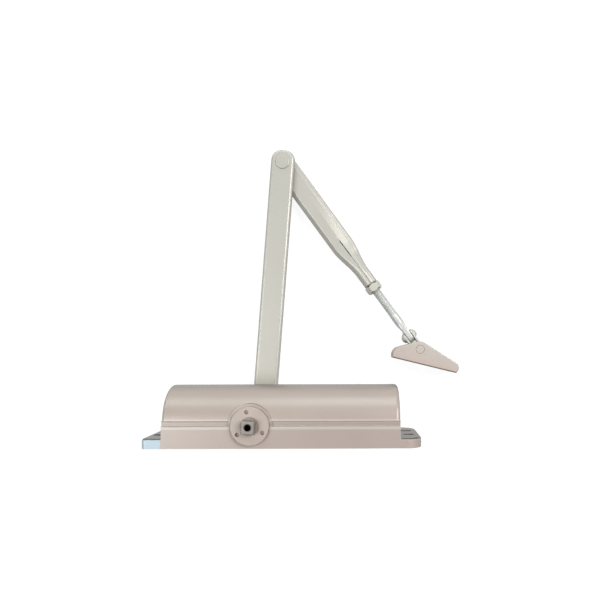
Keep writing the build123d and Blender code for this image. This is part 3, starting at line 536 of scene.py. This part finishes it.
def makeRod(shape):
    # radius = nominal - depth * (triangle wave of station / pitch - angle / turn), which fades out at the
    # thread's end; past the neck the section is a superellipse that goes from round to a rounded oblong
    step = shape["plainStep"]
    threadRows = np.arange(shape["start"], shape["threadEnd"] + shape["runout"], shape["ringStep"])
    plainRows = np.arange(threadRows[-1] + step, shape["tip"] - shape["tipLength"], step)
    tipRows = shape["tip"] - shape["tipLength"] * np.array(shape["tipShares"])
    station = np.concatenate([threadRows, plainRows, tipRows])[:, None]
    angle = (np.arange(shape["sides"]) / shape["sides"] * 2 * np.pi)[None, :]
    phase = (station / shape["pitch"] - angle / (2 * np.pi)) % 1.0
    wave = np.clip(np.abs(phase - 0.5) * shape["waveSteepness"] - shape["crestWidth"], 0.0, 1.0)
    fade = 1 - smoothStep((station - shape["threadEnd"]) / shape["runout"])
    radius = shape["radius"] - shape["threadDepth"] * wave * fade
    morph = smoothStep((station - shape["neckStart"]) / (shape["bladeStart"] - shape["neckStart"]))
    halfAcross = radius + (shape["bladeThickness"] / 2 - radius) * morph
    fromTip = shape["bladeWidth"] / 2 - (shape["tip"] - station)
    roundEnd = np.sqrt(np.clip(1 - (np.clip(fromTip, 0, None) / (shape["bladeWidth"] / 2)) ** 2, 0.0, 1.0))
    halfUp = radius + (shape["bladeWidth"] / 2 - radius) * morph
    halfUp = halfUp * roundEnd + shape["tipThickness"]
    power = 2 + shape["bladeSquareness"] * morph
    reach = (np.abs(np.cos(angle)) ** power + np.abs(np.sin(angle)) ** power) ** (-1 / power)
    across = halfAcross * reach * np.cos(angle)
    up = halfUp * reach * np.sin(angle)
    points = forearmPoint(station + 0 * across, across, up)
    return skinTube("forearmRodThreaded", points, station[:, 0], "rodMap")


zincRodLook = {
    "changeAt": rodShape["threadEnd"], "changeLength": 0.004, "colour": (0.61, 0.61, 0.59),
    "threadStain": (0.9, 1.06), "plainStain": (0.94, 1.04), "metallic": 0.3, "roughness": 0.40,
    "roughSpread": 0.06, "stainScale": 110.0, "grainScale": 900.0, "grainDepth": 0.000003,
}
rod = makeRod(rodShape)
rod.data.materials.append(zincRod("zincRod", zincRodLook))
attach(rod, "rod")
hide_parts("forearm_rod")

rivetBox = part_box("elbow_rivet")
rivetShape = {
    "headRadius": 6.5 * mm, "rimHeight": 0.7125 * mm, "crown": 0.315 * mm, "shankRadius": 3.9 * mm,
    "armTop": -36.0 * mm, "tailRadius": 5.2 * mm, "tailHeight": 1.4 * mm, "tailTurn": 0.98,
    "bottom": rivetBox[0][2], "sides": 64, "steps": 8, "crownFrom": 0.02, "crownTo": 0.87,
}


def makeRivet(shape):
    # a profile turned round the elbow's axis: a wide low head with a soft rim, the shank, and a domed tail;
    # head height = rim height + crown * (1 - radius share^2), and both rims are quarter ellipses
    turn = np.linspace(0, np.pi / 2, shape["steps"])
    share = np.linspace(shape["crownFrom"], shape["crownTo"], shape["steps"])
    head = np.stack([share * shape["headRadius"],
                     shape["armTop"] + shape["rimHeight"] + shape["crown"] * (1 - share ** 2)], axis=-1)
    rim = np.stack([head[-1, 0] + (shape["headRadius"] - head[-1, 0]) * np.sin(turn[1:]),
                    shape["armTop"] + (head[-1, 1] - shape["armTop"]) * np.cos(turn[1:])], axis=-1)
    tailTop = shape["bottom"] + shape["tailHeight"]
    shank = np.array([[shape["shankRadius"], shape["armTop"]], [shape["shankRadius"], tailTop]])
    tail = np.stack([shape["tailRadius"] * np.cos(turn * shape["tailTurn"]),
                     tailTop - shape["tailHeight"] * np.sin(turn)], axis=-1)
    profile = np.concatenate([head, rim, shank, tail])
    angle = np.arange(shape["sides"]) / shape["sides"] * 2 * np.pi
    out = profile[:, :1]
    points = np.stack([elbowAt[0] + out * np.cos(angle), elbowAt[1] + out * np.sin(angle),
                       profile[:, 1:] + 0 * angle], axis=-1)
    walk = np.concatenate([[0.0], np.cumsum(np.linalg.norm(np.diff(profile, axis=0), axis=1))])
    return skinTube("elbowRivetTurned", points[:, ::-1], walk, "rivetMap")


rivet = makeRivet(rivetShape)
rivet.data.materials.append(finishes["arm_paint"])
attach(rivet, "spindle")
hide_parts("elbow_rivet")

saddleShape = {
    "frontRadius": 6.4 * mm, "frontHalfAngle": 0.62, "backRadius": 5.6 * mm, "backHalfAngle": 0.75,
    "halfWidth": 3.05 * mm, "rows": 12, "turns": 14,
}


def makeSaddle(shape):
    # the fork's root between the ears: its section lies between an arc round the cross rivet and an arc round
    # the pin, and it is carried across from ear to ear
    turn = np.linspace(-shape["frontHalfAngle"], shape["frontHalfAngle"], shape["turns"])
    front = np.stack([rivetStation + shape["frontRadius"] * np.cos(turn),
                      shape["frontRadius"] * np.sin(turn)], axis=-1)
    backTurn = np.linspace(-shape["backHalfAngle"], shape["backHalfAngle"], shape["turns"])
    back = np.stack([forearmLength - shape["backRadius"] * np.cos(backTurn),
                     -shape["backRadius"] * np.sin(backTurn)], axis=-1)
    section = np.concatenate([front, back])
    across = np.linspace(-shape["halfWidth"], shape["halfWidth"], shape["rows"])[:, None]
    points = forearmPoint(section[:, 0] + 0 * across, across + 0 * section[:, 0], section[:, 1] + 0 * across)
    return skinTube("linkSaddle", points, across[:, 0], "saddleMap")


saddle = makeSaddle(saddleShape)
saddle.data.materials.append(finishes["zinc_steel"])
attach(saddle, "link")

sleeveShape = {
    "width": 21.4 * mm, "thickness": 6.6 * mm, "tube": 12.8 * mm, "roundShare": 0.46,
    "taperEnd": forearmLength - 88.1 * mm, "taperLength": 33.0 * mm, "end": forearmLength - 75.6 * mm,
    "seamStart": forearmLength - 127.0 * mm, "slitEnd": forearmLength - 103.5 * mm,
    "slitDepth": 1.5 * mm, "slitHalfWidth": 0.36 * mm, "seamDepth": 0.5 * mm, "seamHalfWidth": 0.2 * mm,
    "seamColumns": 25, "seamReach": 0.9 * mm, "columns": 88, "edgeRows": 14,
    "leanFrom": 25 * mm, "leanFull": 98 * mm, "leanSlope": 0.30, "leanFade": 110 * mm, "leanGone": 129 * mm,
    "leanStart": 0.6 * mm, "taperLean": 0.22, "taperLeanFull": 110 * mm,
    "foldInset": 2.9 * mm, "foldDepth": 0.4 * mm, "foldHalfWidth": 0.75 * mm,
    "dropInset": 3.0 * mm, "dropSlope": 1.3, "pressFrom": 2.0 * mm, "pressFull": 12.0 * mm,
    "openLength": 5.0 * mm, "closeLength": 8.0 * mm, "seamShare": 0.12, "thinnestShare": 0.02,
    "edgeFrom": 0.02, "flatStart": 2.0 * mm, "flatRows": 24, "rowGap": 1.0 * mm, "denseBefore": 3.0 * mm,
    "denseRows": 110,
}


def oblongPoint(walk, width, thickness, corner):
    # walks round a rounded rectangle, starting at the middle of its top and going towards -across:
    # half the top, a quarter circle, the side, a quarter circle, the bottom, and back up the other side
    halfFlat, side = width / 2 - corner, thickness - 2 * corner
    arc = corner * np.pi / 2
    half = 2 * halfFlat + 2 * arc + side
    mirrored = walk > half
    step = np.where(mirrored, 2 * half - walk, walk)
    onTop = step <= halfFlat
    onFirst = step <= halfFlat + arc
    onSide = step <= halfFlat + arc + side
    onSecond = step <= halfFlat + 2 * arc + side
    first = (step - halfFlat) / corner
    second = (step - halfFlat - arc - side) / corner
    across = np.select(
        [onTop, onFirst, onSide, onSecond],
        [step, halfFlat + corner * np.sin(first), halfFlat + corner + 0 * step,
         halfFlat + corner * np.cos(second)],
        half - step)
    up = np.select(
        [onTop, onFirst, onSide, onSecond],
        [thickness / 2 + 0 * step, thickness / 2 - corner + corner * np.cos(first),
         thickness / 2 - corner - (step - halfFlat - arc),
         -(thickness / 2 - corner) - corner * np.sin(second)],
        -thickness / 2 + 0 * step)
    return np.where(mirrored, across, -across), up


def makeSleeve(shape):
    # a rounded oblong carried along the forearm: it narrows and thickens by a smooth step from flat to round,
    # its elbow end is a half circle in plan, and a seam is pressed in along the middle of its top
    radius = shape["width"] / 2
    sweep = np.linspace(shape["edgeFrom"], 1, shape["edgeRows"])
    endRows = -radius * np.cos(sweep * np.pi / 2)
    taperStart = shape["taperEnd"] - shape["taperLength"]
    denseStart = taperStart - shape["denseBefore"]
    flatRows = np.linspace(shape["flatStart"], denseStart - shape["rowGap"], shape["flatRows"])
    denseRows = np.linspace(denseStart, shape["end"], shape["denseRows"])
    station = np.concatenate([endRows, flatRows, denseRows])[:, None]
    blend = smoothStep((station - taperStart) / shape["taperLength"])
    width = shape["width"] + (shape["tube"] - shape["width"]) * blend
    width = width * np.sqrt(np.clip(1 - (np.clip(-station, 0, None) / radius) ** 2, 0.0, 1.0))
    thickness = shape["thickness"] + (shape["tube"] - shape["thickness"]) * blend
    inset = np.clip(1 - (station + radius) / (shape["thickness"] / 2), 0.0, 1.0)
    thickness = thickness * np.sqrt(np.clip(1 - inset ** 2, shape["thinnestShare"], 1.0))
    corner = shape["roundShare"] * np.minimum(width, thickness)
    whole = 2 * (width + thickness - 4 * corner) + 2 * np.pi * corner
    reach = np.minimum(shape["seamReach"], shape["seamShare"] * whole)
    seam = np.linspace(-1, 1, shape["seamColumns"])[None, :] * reach
    rest = np.linspace(0, 1, shape["columns"] + 2)[None, 1:-1] * (whole - 2 * reach) + reach
    walk = np.concatenate([np.where(seam < 0, seam + whole, seam), rest], axis=1)
    across, up = oblongPoint(walk, width, thickness, corner)
    opening = smoothStep((station - shape["seamStart"]) / shape["openLength"])
    closed = smoothStep((station - shape["slitEnd"] + shape["closeLength"]) / shape["closeLength"])
    depth = opening * (shape["slitDepth"] + (shape["seamDepth"] - shape["slitDepth"]) * closed)
    halfWidth = shape["slitHalfWidth"] + (shape["seamHalfWidth"] - shape["slitHalfWidth"]) * closed
    offset = np.concatenate([seam, 0 * rest + 1.0], axis=1)
    up = up - depth * np.exp(-(offset / halfWidth) ** 4)
    # right of the seam the top leans down, more and more towards the taper, and not at all on the round end;
    # a shallow fold line runs along the right edge, and the flat part's left edge falls away steeply
    rising = smoothStep((station - shape["leanFrom"]) / (shape["leanFull"] - shape["leanFrom"]))
    fading = smoothStep((shape["leanGone"] - station) / (shape["leanGone"] - shape["leanFade"]))
    steeper = smoothStep((station - shape["leanFull"]) / (shape["taperLeanFull"] - shape["leanFull"]))
    slope = (shape["leanSlope"] * rising + shape["taperLean"] * steeper) * fading
    topShare = np.clip(up / thickness + 0.5, 0.0, 1.0)
    fromFold = (across - width / 2 + shape["foldInset"]) / shape["foldHalfWidth"]
    fold = shape["foldDepth"] * np.exp(-fromFold ** 2)
    leftEdge = (1 - blend) * shape["dropSlope"] * np.clip(shape["dropInset"] - width / 2 - across, 0.0, None)
    pressed = smoothStep((station - shape["pressFrom"]) / (shape["pressFull"] - shape["pressFrom"]))
    lean = slope * np.clip(across - shape["leanStart"], 0.0, None)
    up = up - topShare * (lean + pressed * (fold + leftEdge))
    points = forearmPoint(station + 0 * across, across, up)
    return skinTube("forearmSleeveSeamed", points[:, ::-1], station[:, 0], "sleeveMap")


sleeve = makeSleeve(sleeveShape)
sleeve.data.materials.append(finishes["arm_paint"])
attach(sleeve, "forearm")
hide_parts("forearm_sleeve")
print("forearm pieces made: rod", len(rod.data.polygons), "faces, sleeve", len(sleeve.data.polygons), "faces")

springBox = np.array(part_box("closing_spring"))
springShape = {"wireRadius": 2.2 * mm, "turns": 8, "stepsPerTurn": 32, "sides": 14, "fixedEnd": 79.0 * mm}


def makeSpring(shape):
    # a round wire wound round the bore's axis: its centre is at start + rise * turn along X, and at
    # coil radius * (0, sin turn, -cos turn) away from the axis
    middle = springBox.mean(axis=0)
    coilRadius = (springBox[1, 2] - springBox[0, 2]) / 2 - shape["wireRadius"]
    turn = np.linspace(0, 2 * np.pi * shape["turns"], shape["turns"] * shape["stepsPerTurn"] + 1)
    start, end = springBox[0, 0] + shape["wireRadius"], springBox[1, 0] - shape["wireRadius"]
    rise = (end - start) / turn[-1]
    outward = np.stack([0 * turn, np.sin(turn), -np.cos(turn)], axis=-1)
    centre = np.stack([start + rise * turn, middle[1] + 0 * turn, middle[2] + 0 * turn], axis=-1)
    centre = centre + coilRadius * outward
    ahead = np.stack([rise + 0 * turn, coilRadius * np.cos(turn), coilRadius * np.sin(turn)], axis=-1)
    sideways = np.cross(ahead / np.linalg.norm(ahead, axis=1, keepdims=True), outward)
    angle = (np.arange(shape["sides"]) / shape["sides"] * 2 * np.pi)[None, :, None]
    ring = np.cos(angle) * outward[:, None, :] + np.sin(angle) * sideways[:, None, :]
    points = centre[:, None, :] + shape["wireRadius"] * ring
    return skinTube("closingSpringWound", points, turn * math.hypot(rise, coilRadius), "springMap")


spring = makeSpring(springShape)
spring.data.materials.append(finishes["spring_steel"])
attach(spring, "casing")
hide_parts("closing_spring")
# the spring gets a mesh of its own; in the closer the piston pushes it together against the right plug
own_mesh(spring)


# Floor, light and camera

floorLook = {
    "height": -0.0575, "halfSize": 3.0, "ownLight": 0.9, "greys": (0.2, 0.3), "grainScale": 180.0,
    "roughness": 0.9, "specular": 0.1,
}


def seenDirectly(tree):
    # 1 for camera, glossy and transmission rays, which see the white studio, and 0 for the others
    rays = tree.nodes.new("ShaderNodeLightPath")
    seen = rays.outputs["Is Camera Ray"]
    for kind in ("Is Glossy Ray", "Is Transmission Ray"):
        higher = tree.nodes.new("ShaderNodeMath")
        higher.operation = "MAXIMUM"
        tree.links.new(seen, higher.inputs[0])
        tree.links.new(rays.outputs[kind], higher.inputs[1])
        seen = higher.outputs[0]
    return seen


def makeFloor(look):
    # white where it is seen, with the object's soft shadow on it, and grey where it only bounces light
    half, height = look["halfSize"], look["height"]
    mesh = bpy.data.meshes.new("studioFloor")
    corners = [(-half, -half, height), (half, -half, height), (half, half, height), (-half, half, height)]
    mesh.from_pydata(corners, [], [(0, 1, 2, 3)])
    floor = bpy.data.objects.new("studioFloor", mesh)
    bpy.context.scene.collection.objects.link(floor)
    bench = NodeBench("studioFloor")
    tone = bench.mottle(bench.noise(look["grainScale"], detail=3.0, roughness=0.5), (1, 1, 1), look["greys"])
    bench.finish(**{"Base Color": tone, "Roughness": look["roughness"],
                    "Specular IOR Level": look["specular"]})
    strength = bench.times(seenDirectly(bench.tree), look["ownLight"])
    white = bench.add("ShaderNodeEmission", {"Color": (1, 1, 1, 1), "Strength": strength})
    both = bench.add("ShaderNodeAddShader", {0: bench.shader.outputs[0], 1: white.outputs[0]})
    out = bench.tree.nodes["Material Output"]
    bench.tree.links.new(both.outputs[0], out.inputs["Surface"])
    mesh.materials.append(bench.material)


makeFloor(floorLook)

worldLook = {"lightStrength": 0.07, "lightColour": (0.98, 1.0, 0.99, 1)}


def makeWorld(look):
    # low even light for the object, plain white for the rays that see the background
    world = bpy.data.worlds.new("softStudio")
    world.use_nodes = True
    bpy.context.scene.world = world
    tree = world.node_tree
    soft = tree.nodes["Background"]
    soft.inputs["Color"].default_value = look["lightColour"]
    soft.inputs["Strength"].default_value = look["lightStrength"]
    backdrop = tree.nodes.new("ShaderNodeBackground")
    backdrop.inputs["Color"].default_value = (1, 1, 1, 1)
    backdrop.inputs["Strength"].default_value = 1.0
    mix = tree.nodes.new("ShaderNodeMixShader")
    tree.links.new(seenDirectly(tree), mix.inputs[0])
    tree.links.new(soft.outputs[0], mix.inputs[1])
    tree.links.new(backdrop.outputs[0], mix.inputs[2])
    tree.links.new(mix.outputs[0], tree.nodes["World Output"].inputs["Surface"])


makeWorld(worldLook)

lamps = {
    "domeLamp": {"at": (0.2, 1.75, 0.8), "aim": (0.04, 0.1, 0.0), "size": 0.9, "power": 7.0,
                 "colour": (0.85, 1.0, 1.0)},
    "mainLamp": {"at": (1.1, 0.6, 1.4), "aim": (0.04, 0.1, 0.0), "size": 0.9, "power": 21.0,
                 "colour": (1.0, 0.98, 0.97)},
    "leftLamp": {"at": (-0.95, 0.0, 1.65), "aim": (0.0, 0.08, 0.0), "size": 0.9, "power": 11.2,
                 "colour": (0.95, 1.0, 0.98)},
    "leftDomeLamp": {"at": (-0.9, 1.6, 0.75), "aim": (-0.05, 0.05, 0.0), "size": 0.9, "power": 6.0,
                     "colour": (0.8, 1.0, 0.9)},
}


def makeLamp(name, look):
    light = bpy.data.lights.new(name, "AREA")
    light.size = look["size"]
    light.energy = look["power"]
    light.color = look["colour"]
    lamp = bpy.data.objects.new(name, light)
    bpy.context.scene.collection.objects.link(lamp)
    lamp.location = look["at"]
    toward = Vector(look["aim"]) - Vector(look["at"])
    lamp.rotation_euler = toward.to_track_quat("-Z", "Y").to_euler()


for name, look in lamps.items():
    makeLamp(name, look)

cameraLook = {"at": (0.054883, 0.080026, 0.460), "turnDegrees": (0, 0, -0.166), "lens": 32.6164,
              "sensor": 36.0, "shift": (-0.08302, 0.079865), "clip": (0.01, 20.0)}
lens = bpy.data.cameras.new("photoCamera")
lens.lens = cameraLook["lens"]
lens.sensor_width = cameraLook["sensor"]
lens.shift_x, lens.shift_y = cameraLook["shift"]
lens.clip_start, lens.clip_end = cameraLook["clip"]
camera = bpy.data.objects.new("photoCamera", lens)
camera.location = cameraLook["at"]
camera.rotation_euler = [math.radians(turn) for turn in cameraLook["turnDegrees"]]
bpy.context.scene.collection.objects.link(camera)
bpy.context.scene.camera = camera
bpy.context.scene.view_settings.view_transform = "Standard"
print("camera, lamps and floor set")
